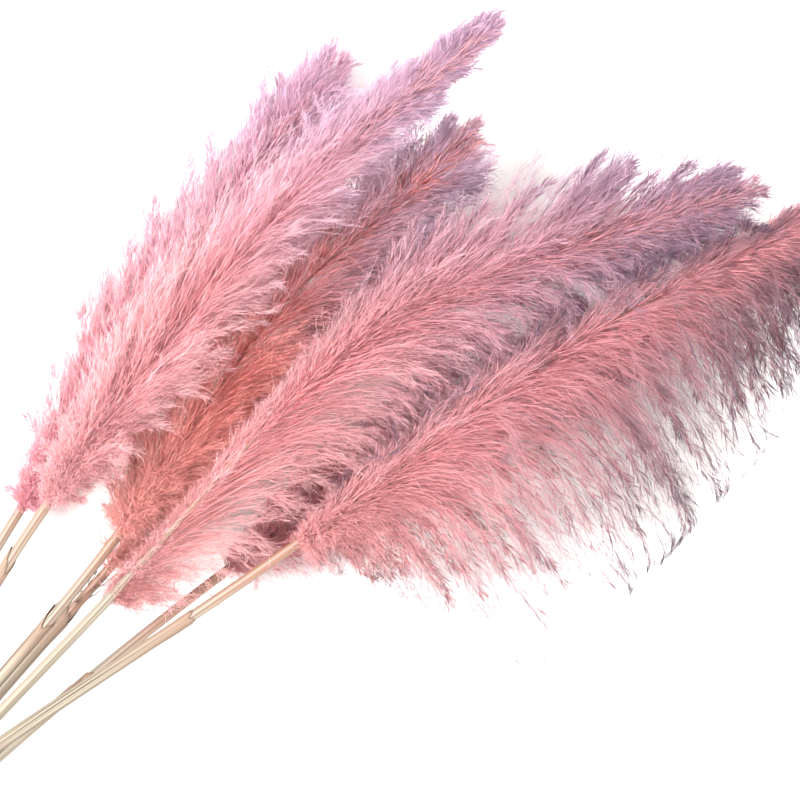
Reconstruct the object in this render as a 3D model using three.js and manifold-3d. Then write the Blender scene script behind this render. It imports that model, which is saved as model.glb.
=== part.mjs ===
// A loose bunch of seven dyed, dried stalks of pampas grass, lying on a flat surface.
// Millimetres, +Z up. The stalks run along +X, from the cut ends to the tips of the plumes.
// Each stalk is a culm (the cane, which goes on as the rachis inside the plume), a dry leaf sheath
// wrapped round the lower cane, and a plume, which stands here as one closed solid of its true outer
// shape. The origin is under the middle of the bunch, on the surface that it lies on.
import * as THREE from "three";
import { mergeVertices } from "three/addons/utils/BufferGeometryUtils.js";
import Module from "manifold-3d";

const wasm = await Module();
wasm.setup();

// ---- Driving dimensions ----
const reach = 1.0; // stretches every stalk's length from the grip
const spread = 1.0; // stretches the fan of the stalks sideways
const pile = 1.0; // stretches the height of the heap of plumes
const caneRadius = 5.2; // culm at the cut end
const neckRadius = 4.0; // culm where the plume starts
const rachisTipRadius = 1.2; // end of the rachis, near the tip of the plume
const jointSwell = 0.7; // how far a joint ring stands out of the culm
const sheathWall = 0.9;
const mouthFlare = 1.6; // how far the sheath's mouth opens round the culm
const sheathGap = 0.3; // between the culm and the sheath wrapped round it
const plumeGap = 0.4; // between a plume and whatever presses into it
const stalkGap = 1.5; // between two stalks lying side by side
const restGap = 0.4; // between the lowest stalks and the surface, which the plumes lie on
const rachisShare = 0.9; // share of the plume that the rachis reaches

const sheathRadius = Math.max(caneRadius, neckRadius) + sheathGap + sheathWall;
const pitch = 2 * (sheathRadius + jointSwell) + stalkGap; // from one stalk to the next at the grip

// ---- The stalks, from the left edge of the fan to the right ----
// tail: length of cane behind the grip. mouth: how many of the bare cane's twelve steps the sheath
// reaches. seat: place across the bunch at the grip and at the cut
// ends, in pitches. row: how many stalks it lies on at the grip. base, bend and tip: where the
// plume starts, its middle and its end. left and right: half widths to both sides of the rachis.
// loft: half thickness. lean: rise of the plume for each millimetre to its left.
// fullest: where along the plume it is widest. blunt: below 1 for round ends, above 1 for slim ones.
const stalks = [
  { tail: 170, mouth: 10, seat: [2.6, 3.4], row: 0, base: [290, 106, 26], bend: [525, 146, 32],
    tip: [758, 176, 32], left: 52, right: 60, loft: 36, lean: 0, fullest: 0.54, blunt: 0.6 },
  { tail: 205, mouth: 11, seat: [2.05, 2.4], row: 1, base: [312, 90, 104], bend: [590, 118, 134],
    tip: [862, 100, 116], left: 54, right: 58, loft: 34, lean: 0.1, fullest: 0.46, blunt: 0.66 },
  { tail: 150, mouth: 10, seat: [1.0, 1.3], row: 1, base: [334, 34, 70], bend: [560, 66, 92],
    tip: [784, 48, 88], left: 64, right: 58, loft: 32, lean: 0, fullest: 0.56, blunt: 0.6 },
  { tail: 188, mouth: 11, seat: [0.55, 0.3], row: 0, base: [306, 22, 24], bend: [530, 26, 31],
    tip: [716, 22, 32], left: 52, right: 52, loft: 34, lean: 0, fullest: 0.5, blunt: 0.6 },
  { tail: 160, mouth: 8, seat: [0.05, -0.75], row: 1, base: [288, 4, 84], bend: [610, -4, 128],
    tip: [905, -146, 112], left: 70, right: 66, loft: 34, lean: 0.2, fullest: 0.46, blunt: 0.7 },
  { tail: 196, mouth: 9, seat: [-0.75, -1.9], row: 0, base: [372, -47, 24], bend: [580, -95, 31],
    tip: [785, -178, 32], left: 42, right: 50, loft: 34, lean: 0, fullest: 0.5, blunt: 0.65 },
  { tail: 178, mouth: 10, seat: [0.1, -3.1], row: 2, base: [431, -73, 98], bend: [690, -118, 122],
    tip: [945, -198, 104], left: 20, right: 172, loft: 30, lean: 0.71, fullest: 0.46, blunt: 0.95 },
];
const plumeOrder = [7, 2, 5, 3, 6, 4, 1]; // from the top of the heap down

// ---- Curves ----
// The middle line of a stalk: from the cut end through the grip into the plume and to its tip.
function stalkCurve(stalk) {
  const restHeight = sheathRadius + jointSwell + restGap;
  const rowHeight = restHeight + stalk.row * pitch;
  const place = ([x, y, z]) => new THREE.Vector3(x * reach, y * spread, z * pile);
  const [atGrip, atCut] = stalk.seat;
  return new THREE.CatmullRomCurve3([
    new THREE.Vector3(-stalk.tail * reach, atCut * pitch, restHeight),
    new THREE.Vector3(0, atGrip * pitch, rowHeight),
    place(stalk.base),
    place(stalk.bend),
    place(stalk.tip),
  ]);
}

// The share of the curve's length at which the plume starts: the third of its five points.
function plumeStart(curve) {
  const steps = 400;
  const lengths = curve.getLengths(steps);
  return lengths[steps / 2] / lengths[steps];
}

// A point and a level sideways direction at the share u of the curve's length.
function station(curve, u) {
  const point = curve.getPointAt(THREE.MathUtils.clamp(u, 0, 1));
  const along = curve.getTangentAt(THREE.MathUtils.clamp(u, 0, 1));
  const left = new THREE.Vector3(0, 0, 1).cross(along).normalize();
  const up = along.clone().cross(left);
  return { point, along, left, up };
}

// ---- Solids ----
function solidOf(geometry) {
  const bare = geometry.clone();
  bare.deleteAttribute("normal");
  bare.deleteAttribute("uv");
  const merged = mergeVertices(bare, 1e-4);
  return new wasm.Manifold(new wasm.Mesh({
    numProp: 3,
    vertProperties: merged.attributes.position.array,
    triVerts: new Uint32Array(merged.index.array),
  }));
}

function geometryOf(solid) {
  const mesh = solid.getMesh();
  const geometry = new THREE.BufferGeometry();
  geometry.setAttribute("position", new THREE.BufferAttribute(mesh.vertProperties, 3));
  geometry.setIndex(new THREE.BufferAttribute(mesh.triVerts, 1));
  geometry.computeVertexNormals();
  return geometry;
}

// Turns a lathe or a sphere, made along Y with heights from 0 to 1, into a body along the curve:
// a height picks the station between the shares from and to, and x and z are set off from it.
function alongCurve(geometry, curve, from, to, offset) {
  const position = geometry.attributes.position;
  const vertex = new THREE.Vector3();
  for (let i = 0; i < position.count; i += 1) {
    vertex.fromBufferAttribute(position, i);
    const here = station(curve, from + (to - from) * vertex.y);
    const moved = offset(vertex, here);
    position.setXYZ(i, moved.x, moved.y, moved.z);
  }
  return geometry;
}

const round = (vertex, here) => here.point.clone()
  .addScaledVector(here.left, vertex.z)
  .addScaledVector(here.up, vertex.x);

// The culm's radius at the share v from the cut end to the end of the rachis.
function culmRadius(v, neck) {
  if (v < neck) return THREE.MathUtils.lerp(caneRadius, neckRadius, v / neck);
  return THREE.MathUtils.lerp(neckRadius, rachisTipRadius, (v - neck) / (1 - neck));
}

// Shares of the bare cane, from the cut end to the neck, at which the culm and its sheath have a
// ring of points. The joint ring stands out at jointShare, and the sheath grows out of it.
const caneSteps = 12;
const jointShare = 0.09;
const jointHalf = 0.008;
const sheathRoot = jointShare + 2 * jointHalf;
const caneShares = [0, jointShare - jointHalf, jointShare, jointShare + jointHalf, sheathRoot];
for (let i = 2; i <= caneSteps; i += 1) caneShares.push(i / caneSteps);
const rachisSteps = 10;
const caneSides = 8;

// Culm and rachis: a tapering cane with one joint ring near its cut end.
function culmSolid(curve, start, grow = 0) {
  const end = start + (1 - start) * rachisShare;
  const neck = start / end;
  const profile = [new THREE.Vector2(0, 0)];
  for (const share of caneShares) {
    const swell = share === jointShare ? jointSwell : 0;
    profile.push(new THREE.Vector2(culmRadius(share * neck, neck) + swell + grow, share * neck));
  }
  for (let i = 1; i <= rachisSteps; i += 1) {
    const v = neck + ((1 - neck) * i) / rachisSteps;
    profile.push(new THREE.Vector2(culmRadius(v, neck) + grow, v));
  }
  profile.push(new THREE.Vector2(0, 1));
  const last = end + grow / curve.getLength();
  return solidOf(alongCurve(new THREE.LatheGeometry(profile, caneSides), curve, 0, last, round));
}

// The leaf sheath: a thin tube round the cane, from its joint ring to a flared mouth.
function sheathSolid(stalk, curve, start, grow = 0) {
  const end = start + (1 - start) * rachisShare;
  const neck = start / end;
  const mouth = stalk.mouth / caneSteps;
  const inner = [];
  const outer = [];
  for (const share of caneShares.filter((each) => each >= sheathRoot && each <= mouth)) {
    const bore = culmRadius(share * neck, neck) + sheathGap + (share === mouth ? mouthFlare : 0);
    inner.push(new THREE.Vector2(grow ? 0 : bore, share * neck));
    outer.push(new THREE.Vector2(bore + sheathWall + grow, share * neck));
  }
  const profile = grow
    ? [inner[0], ...outer, inner[inner.length - 1]]
    : [...outer, ...inner.reverse(), outer[0]];
  return solidOf(alongCurve(new THREE.LatheGeometry(profile, caneSides), curve, 0, end, round));
}

// How full the plume is at the share t of its length: 0 at both ends and 1 where it is widest.
function fullness(t, stalk) {
  const power = Math.log(0.5) / Math.log(stalk.fullest);
  return Math.sin(Math.PI * t ** power) ** stalk.blunt;
}

// A plume: a tapering lens round the rachis, wider on its drooping side, leaning on its neighbours
// and flat where it lies on the surface.
function plumeSolid(stalk, curve, start, grow = 0) {
  const around = 14;
  const lengthwise = 16;
  const ball = new THREE.SphereGeometry(1, around, lengthwise);
  const position = ball.attributes.position;
  for (let i = 0; i < position.count; i += 1) {
    const turn = Math.acos(THREE.MathUtils.clamp(position.getY(i), -1, 1)) / Math.PI;
    const ring = Math.hypot(position.getX(i), position.getZ(i));
    const full = ring > 1e-6 ? fullness(1 - turn, stalk) / ring : 0;
    position.setXYZ(i, position.getX(i) * full, 1 - turn, position.getZ(i) * full);
  }
  const offset = (vertex, here) => {
    const half = (vertex.z > 0 ? stalk.left : stalk.right) * spread + grow;
    const across = vertex.z * half;
    const rise = vertex.x * (stalk.loft * pile + grow) + across * stalk.lean * pile / spread;
    const moved = here.point.clone().addScaledVector(here.left, across);
    moved.z = Math.max(moved.z + rise, grow ? -grow : 0);
    return moved;
  };
  return solidOf(alongCurve(ball, curve, start, 1, offset));
}

// ---- The bunch ----
const strawColour = 0xe0cfa4;
const sheathColour = 0xc9b48c;
const plumeColours = [0xf2a9b4, 0xf0b4bd, 0xd98a8c, 0xcf8084, 0xe6a0a6, 0xb97a86, 0xdba0aa];
const finish = (color, roughness) => new THREE.MeshStandardMaterial({ color, roughness, metalness: 0 });

const bodies = stalks.map((stalk) => {
  const curve = stalkCurve(stalk);
  return { stalk, curve, start: plumeStart(curve) };
});
const bunch = new THREE.Group();
function addNode(name, solid, material) {
  const mesh = new THREE.Mesh(geometryOf(solid), material);
  mesh.name = name;
  bunch.add(mesh);
}

// A plume is soft: it gives way to every culm and sheath, and to the plumes that lie on it.
const harder = bodies.flatMap(({ stalk, curve, start }) => [
  culmSolid(curve, start, plumeGap),
  sheathSolid(stalk, curve, start, plumeGap),
]);
bodies.forEach(({ stalk, curve, start }, index) => {
  addNode(`stem_${index + 1}`, culmSolid(curve, start), finish(strawColour, 0.55));
  addNode(`sheath_${index + 1}`, sheathSolid(stalk, curve, start), finish(sheathColour, 0.75));
});
plumeOrder.forEach((number, place) => {
  const { stalk, curve, start } = bodies[number - 1];
  let solid = plumeSolid(stalk, curve, start);
  for (const other of harder) solid = solid.subtract(other);
  for (const above of plumeOrder.slice(0, place)) {
    const upper = bodies[above - 1];
    solid = solid.subtract(plumeSolid(upper.stalk, upper.curve, upper.start, plumeGap));
  }
  addNode(`plume_${number}`, solid, finish(plumeColours[number - 1], 0.9));
});

const box = new THREE.Box3().setFromObject(bunch);
const centre = box.getCenter(new THREE.Vector3());
bunch.position.set(-centre.x, -centre.y, -box.min.z);
const part = new THREE.Group();
part.add(bunch);

export default part;
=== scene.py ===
"""A loose bunch of dyed, dried pampas grass, lying on a pale studio floor.

Each stalk is a pale cane in a papery leaf sheath, and its plume is drawn as the plant grows it: side
branches that leave the rachis, sweep forward and droop, each one clad in silky hairs.
"""

import math

import bpy
import numpy as np
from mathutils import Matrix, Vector


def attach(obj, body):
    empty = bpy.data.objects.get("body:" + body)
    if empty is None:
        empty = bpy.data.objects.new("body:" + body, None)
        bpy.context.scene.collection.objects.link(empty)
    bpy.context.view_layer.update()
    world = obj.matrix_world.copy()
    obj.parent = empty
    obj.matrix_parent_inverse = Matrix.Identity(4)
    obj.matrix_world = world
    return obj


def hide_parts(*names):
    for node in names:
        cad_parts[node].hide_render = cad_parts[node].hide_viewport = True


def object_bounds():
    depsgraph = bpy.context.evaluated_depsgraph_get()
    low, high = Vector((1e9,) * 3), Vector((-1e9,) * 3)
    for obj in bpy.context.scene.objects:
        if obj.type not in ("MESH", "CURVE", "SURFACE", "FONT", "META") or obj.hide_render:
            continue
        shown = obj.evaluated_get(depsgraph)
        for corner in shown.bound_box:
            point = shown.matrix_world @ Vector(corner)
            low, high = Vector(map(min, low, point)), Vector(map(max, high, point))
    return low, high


bl_info = {
    "name": "Pampas Grass Bunch",
    "version": (1, 0, 0),
    "blender": (4, 5, 0),
    "location": "View3D > Sidebar > Pampas",
    "description": "Grows canes, leaf sheaths and feathery plumes round a packed frame",
    "category": "Object",
}

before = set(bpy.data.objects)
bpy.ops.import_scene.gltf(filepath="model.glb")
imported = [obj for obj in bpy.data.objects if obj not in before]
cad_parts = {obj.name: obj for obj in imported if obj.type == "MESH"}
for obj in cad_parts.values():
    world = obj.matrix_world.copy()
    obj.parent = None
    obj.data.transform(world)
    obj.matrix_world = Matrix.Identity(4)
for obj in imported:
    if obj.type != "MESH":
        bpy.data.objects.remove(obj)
CAD_BOX = [[float(value) for value in corner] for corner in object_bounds()]
MM = 0.001
TURN = 2.0 * math.pi
BAKE_MAP = "OFBake"  # the one UV map of every piece: patterns follow it, and so does a bake

# How each stalk's plume is shaped, in millimetres and shares, from the left of the fan to the right.
# dye: which of the colour sets below. left and right: for each side of the rachis, the half width,
# the share along the plume at which it is widest, and how blunt it is on the base side and on the
# tip side of that (below 1 for round ends). loft: half thickness. lean: rise for each millimetre to
# the left. run: how far forward a branch goes, as a share of the plume. arch: 0 for branches that run
# straight on, 0.5 for those that end square to the rachis. weep: how far the ends hang. right_share:
# how many branches grow to the right. parting: up to which share the rachis lies bare on top. locks:
# how many branches reach past the outline as loose hanging locks. thick: share of the full number of
# branches.
PLUMES = {
    1: dict(dye="rose", left=(62, 0.5, 0.45, 0.4), right=(56, 0.52, 0.55, 0.55),
            loft=36, lean=0.0, run=0.27, arch=0.3, weep=3, right_share=0.42,
            parting=0.0, locks=0.04, thick=0.9),
    2: dict(dye="blush", left=(48, 0.46, 0.45, 0.55), right=(36, 0.36, 0.4, 0.75),
            loft=34, lean=0.1, run=0.26, arch=0.36, weep=8, right_share=0.55,
            parting=0.0, locks=0.05, thick=1.05),
    3: dict(dye="coral", left=(78, 0.52, 0.4, 0.45), right=(66, 0.62, 0.4, 0.35),
            loft=32, lean=0.0, run=0.25, arch=0.3, weep=4, right_share=0.5,
            parting=0.0, locks=0.0, thick=1.0),
    4: dict(dye="coral", left=(54, 0.45, 0.4, 0.5), right=(52, 0.5, 0.6, 0.6),
            loft=34, lean=0.0, run=0.28, arch=0.2, weep=0, right_share=0.45,
            parting=0.0, locks=0.0, thick=0.5),
    5: dict(dye="dusty", left=(80, 0.72, 1.4, 0.6), right=(84, 0.5, 0.3, 0.55),
            loft=34, lean=0.1, run=0.25, arch=0.42, weep=10, right_share=0.48,
            parting=0.27, locks=0.05, thick=1.45),
    6: dict(dye="plum", left=(72, 0.58, 0.6, 0.6), right=(56, 0.5, 0.4, 0.6),
            loft=42, lean=0.0, run=0.28, arch=0.3, weep=0, right_share=0.38,
            parting=0.0, locks=0.0, thick=0.7),
    7: dict(dye="veil", left=(36, 0.5, 0.5, 0.6), right=(194, 0.42, 1.15, 0.9),
            loft=30, lean=0.71, run=0.19, arch=0.52, weep=28, right_share=0.8,
            parting=0.0, locks=0.22, thick=1.4),
}

# Dyes, as sRGB hex: at the base of the plume, deep in it, on its lit surface, at its far end and on
# its hanging fringe. The deep colour is painted darker as painted shade inside the plume, and the lit
# one paler as painted light on its surface. The colour of its body is one of the plume settings.
# Weights for the far colours: how much of the change to them comes with the way along, and how much
# outwards.
# glow: how pale the light that shines through the far hairs is, from 0, their own colour, to 1, white.
DYES = {
    "rose": dict(base="#f6b0be", deep="#f1a3b1", lit="#fcdee4", end="#e9cfe8",
                 fringe="#eed6ee", far_weights=(1.15, 0.0), glow=0.6),
    "blush": dict(base="#e6b0b1", deep="#eaa0a4", lit="#f9dadb", end="#d8c2de",
                  fringe="#dccde6", far_weights=(1.1, 0.1), glow=0.55),
    "coral": dict(base="#fbc8bd", deep="#f08c7f", lit="#fac4bb", end="#d9c4da",
                  fringe="#d8cade", far_weights=(1.2, 0.0), glow=0.5),
    "dusty": dict(base="#cc8e86", deep="#e8979d", lit="#fbd5d5", end="#cab0c6",
                  fringe="#b5a2bc", far_weights=(1.1, 0.12), glow=0.35),
    "plum": dict(base="#dc999b", deep="#df919d", lit="#efb6be", end="#cca9c0",
                 fringe="#b6a6c0", far_weights=(1.0, 0.2), glow=0.5),
    # Plume 7: its far and fringe colours are dark grey-mauve, painted shade on its lower right side, and
    # they come mostly with the way outwards.
    "veil": dict(base="#eeb0ab", deep="#e49aa2", lit="#fad8da", end="#b4949f",
                 fringe="#665a74", far_weights=(0.56, 1.05), glow=0.12),
}


# ---- Numbers and colours ----
def linear(hex_colour):
    """An sRGB hex colour as linear red, green, blue and alpha."""
    channels = [int(hex_colour[i:i + 2], 16) / 255.0 for i in (1, 3, 5)]
    straight = [c / 12.92 if c <= 0.04045 else ((c + 0.055) / 1.055) ** 2.4 for c in channels]
    return (*straight, 1.0)


def unit(vectors):
    """Vectors scaled to length one along their last axis."""
    return vectors / np.maximum(np.linalg.norm(vectors, axis=-1, keepdims=True), 1e-9)


def smooth(low, high, values):
    """A smooth step: 0 below low, 1 above high, and a cubic ease between."""
    x = np.clip((values - low) / (high - low), 0.0, 1.0)
    return x * x * (3.0 - 2.0 * x)


# ---- The stalks' middle lines, from the frame ----
LINE_SAMPLES = 700
LINE_DEGREE = 9
TIP_WEIGHT = 30.0  # pull of the plume's tip on the line, against 1 for a point of the cane


def node_points(name):
    """The corners of a CAD node, as an array of rows."""
    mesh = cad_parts[name].data
    flat = np.empty(len(mesh.vertices) * 3, np.float32)
    mesh.vertices.foreach_get("co", flat)
    return flat.reshape(-1, 3).astype(float)


class Stalk:
    """The middle line of a stalk, as y and z over x: least-squares polynomials through the points of
    its CAD cane, tied to the tip of its CAD plume, and then measured by arc length."""

    def __init__(self, number):
        self.number = number
        cane = node_points(f"stem_{number}")
        plume = node_points(f"plume_{number}")
        tip = plume[np.argmax(plume[:, 0])]
        points = np.vstack([cane, tip])
        weights = np.append(np.ones(len(cane)), TIP_WEIGHT)
        self.middle = points[:, 0].mean()
        self.scale = np.ptp(points[:, 0]) / 2.0
        reduced = (points[:, 0] - self.middle) / self.scale
        fits = [np.polyfit(reduced, points[:, k], LINE_DEGREE, w=weights) for k in (1, 2)]
        x = np.linspace(cane[:, 0].min(), tip[0], LINE_SAMPLES)
        line = np.column_stack([x, *(np.polyval(f, (x - self.middle) / self.scale) for f in fits)])
        steps = np.linalg.norm(np.diff(line, axis=0), axis=1)
        self.line = line
        self.arc = np.concatenate([[0.0], np.cumsum(steps)])
        self.length = self.arc[-1]
        self.neck = np.interp(plume[:, 0].min(), x, self.arc)
        sheath = node_points(f"sheath_{number}")
        self.sheath = np.interp([sheath[:, 0].min(), sheath[:, 0].max()], x, self.arc)

    def at(self, arc):
        """Point, forward, left and up directions at arc lengths of any array shape."""
        point = self.sample(arc)
        ahead = unit(self.sample(arc + 2 * MM) - self.sample(arc - 2 * MM))
        left = unit(np.cross(np.array([0.0, 0.0, 1.0]), ahead))
        return point, ahead, left, np.cross(ahead, left)

    def sample(self, arc):
        """Points on the line; past an end it runs straight on."""
        arc = np.asarray(arc, float)
        inside = np.clip(arc, 0.0, self.length)
        point = np.stack([np.interp(inside, self.arc, self.line[:, k]) for k in range(3)], axis=-1)
        first = unit(self.line[3] - self.line[0])
        last = unit(self.line[-1] - self.line[-4])
        over = (arc - inside)[..., None]
        return point + np.where(over > 0, over * last, over * first)


STALKS = {number: Stalk(number) for number in PLUMES}


# ---- Meshes ----
def piece(name, points, faces, uvs, material, slot, *nodes):
    """A mesh object from arrays: points, faces of equal size, and one UV for each face corner."""
    mesh = bpy.data.meshes.new(name)
    corners = faces.shape[1]
    mesh.vertices.add(len(points))
    mesh.vertices.foreach_set("co", points.astype(np.float32).ravel())
    mesh.loops.add(faces.size)
    mesh.loops.foreach_set("vertex_index", faces.astype(np.int32).ravel())
    mesh.polygons.add(len(faces))
    mesh.polygons.foreach_set("loop_start", np.arange(0, faces.size, corners, dtype=np.int32))
    mesh.polygons.foreach_set("use_smooth", np.ones(len(faces), bool))
    mesh.uv_layers.new(name=BAKE_MAP)
    mesh.uv_layers[0].uv.foreach_set("vector", uvs.astype(np.float32).ravel())
    mesh.materials.append(material)
    mesh.update(calc_edges=True)
    mesh.validate()
    new = bpy.data.objects.new(name, mesh)
    bpy.context.scene.collection.objects.link(new)
    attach(new, "root")
    if nodes:
        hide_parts(*nodes)
    return new


def grid_faces(rows, columns, wrap):
    """Quads of a grid of points, row by row. wrap joins the last column to the first."""
    across = columns if wrap else columns - 1
    i, j = np.meshgrid(np.arange(rows - 1), np.arange(across), indexing="ij")
    k = (j + 1) % columns
    quads = np.stack([i * columns + j, i * columns + k, (i + 1) * columns + k, (i + 1) * columns + j],
                     axis=-1)
    return quads.reshape(-1, 4)


STRAND_UV = 0.0022  # half width of a strand on the UV map, so that a bake has room to paint it


def strands(paths, radii, uvs, phase):
    """Closed three-sided strands. paths is (strand, knot, xyz), radii (strand, knot), uvs (strand,
    knot, 2). The first and last knots are points and each knot between is a ring of three points, at
    120 degrees round the strand's own direction. Returns points, triangles and corner UVs."""
    count, knots, _ = paths.shape
    along = unit(np.gradient(paths, axis=1))
    helper = np.where(np.abs(along[..., 2:]) > 0.9, [1.0, 0.0, 0.0], [0.0, 0.0, 1.0])
    side = unit(np.cross(along, helper))
    other = np.cross(along, side)
    inner = slice(1, knots - 1)
    rings = []
    ring_uvs = []
    for k in range(3):
        angle = (phase + k * TURN / 3.0)[:, None, None]
        ring = side[:, inner] * np.cos(angle) + other[:, inner] * np.sin(angle)
        rings.append(paths[:, inner] + ring * radii[:, inner, None])
        ring_uvs.append(uvs[:, inner] + (k - 1) * STRAND_UV * np.array([1.0, -1.0]))
    rings = np.stack(rings, axis=2).reshape(count, -1, 3)
    ring_uvs = np.stack(ring_uvs, axis=2).reshape(count, -1, 2)
    points = np.concatenate([paths[:, :1], rings, paths[:, -1:]], axis=1)
    corner_uvs = np.concatenate([uvs[:, :1], ring_uvs, uvs[:, -1:]], axis=1)
    each = points.shape[1]
    triangles = []
    for k in range(3):
        n = (k + 1) % 3
        triangles.append([0, 1 + n, 1 + k])
        for ring in range(knots - 3):
            a = 1 + 3 * ring
            triangles += [[a + k, a + n, a + 3 + n], [a + k, a + 3 + n, a + 3 + k]]
        triangles.append([each - 1, each - 4 + k, each - 4 + n])
    triangles = np.array(triangles)
    faces = (np.arange(count)[:, None, None] * each + triangles).reshape(-1, 3)
    corner_uvs = np.clip(corner_uvs, 0.002, 0.998).reshape(-1, 2)
    return points.reshape(-1, 3), faces, corner_uvs[faces]


def needles(roots, tips, radii, uvs, phase):
    """Closed needles of four faces: a root, a tip, and between them two points to both sides, which
    stand off the straight line by less than their half distance. uvs is (needle, root and tip, 2)."""
    count = len(roots)
    along = unit(tips - roots)
    helper = np.where(np.abs(along[:, 2:]) > 0.9, [1.0, 0.0, 0.0], [0.0, 0.0, 1.0])
    flat = unit(np.cross(along, helper))
    other = np.cross(along, flat)
    side = flat * np.cos(phase)[:, None] + other * np.sin(phase)[:, None]
    lift = np.cross(along, side)
    middle = roots + 0.4 * (tips - roots) + lift * 0.8 * radii[:, None]
    wide = side * radii[:, None]
    points = np.stack([roots, tips, middle + wide, middle - wide], axis=1)
    middle_uv = 0.6 * uvs[:, 0] + 0.4 * uvs[:, 1]
    wide_uv = STRAND_UV * np.array([1.0, -1.0])
    corner_uvs = np.stack([uvs[:, 0], uvs[:, 1], middle_uv + wide_uv, middle_uv - wide_uv], axis=1)
    corner_uvs = np.clip(corner_uvs, 0.002, 0.998).reshape(-1, 2)
    triangles = np.array([[0, 3, 2], [1, 2, 3], [0, 2, 1], [0, 1, 3]])
    faces = (np.arange(count)[:, None, None] * 4 + triangles).reshape(-1, 3)
    return points.reshape(-1, 3), faces, corner_uvs[faces]


def joined(parts):
    """Several (points, faces, corner UVs) sets as one."""
    shift = np.cumsum([0] + [len(part[0]) for part in parts[:-1]])
    return (np.vstack([part[0] for part in parts]),
            np.vstack([part[1] + move for part, move in zip(parts, shift)]),
            np.vstack([part[2] for part in parts]).reshape(-1, 2))


# ---- Materials ----
# Patterns follow the UV maps. A map spans the length of its piece and the way round it, so the scale
# of a noise is that real size over the real size of one patch, both in millimetres.
PLUME_LONG = 630
HAIR_LOCK, HAIR_TRESS = 45, 7  # hairs that took up the dye alike, in wide locks and in fine tresses
CANE_LONG, CANE_ROUND = 1092, 31.2
CANE_FIBRE = (1.2, 364)  # width and length; drawn wider than the real 0.2 mm, so that they show
CANE_STAIN = (15.6, 84)
SHEATH_LONG, SHEATH_ROUND = 360, 40.8
LEAF_VEIN = (1.2, 180)
LEAF_SPOT = (13.6, 40)
FLOOR_GRAIN = 16.7  # one patch left by the roller


def add(tree, kind, inputs=None, stops=(), **settings):
    """Adds a node with its settings. Each of its inputs, by name or place, is linked if it is given a
    socket, and set if it is given a number or a colour. stops fill a colour ramp with (position,
    colour) pairs. A colour is an sRGB hex value, or linear numbers from a property."""
    node = tree.nodes.new(kind)
    for name, value in settings.items():
        setattr(node, name, value)
    for place, value in (inputs or {}).items():
        if isinstance(value, bpy.types.NodeSocket):
            tree.links.new(value, node.inputs[place])
        else:
            node.inputs[place].default_value = linear(value) if isinstance(value, str) else value
    if stops:
        band = node.color_ramp
        band.interpolation = "EASE"
        for _ in stops[2:]:
            band.elements.new(0.5)
        for element, (position, colour) in zip(band.elements, stops):
            element.position = position
            element.color = linear(colour) if isinstance(colour, str) else colour
    return node


def new_material(name):
    """An empty node material and its tree."""
    material = bpy.data.materials.new(name)
    material.use_nodes = True
    material.node_tree.nodes.clear()
    return material, material.node_tree


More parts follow.
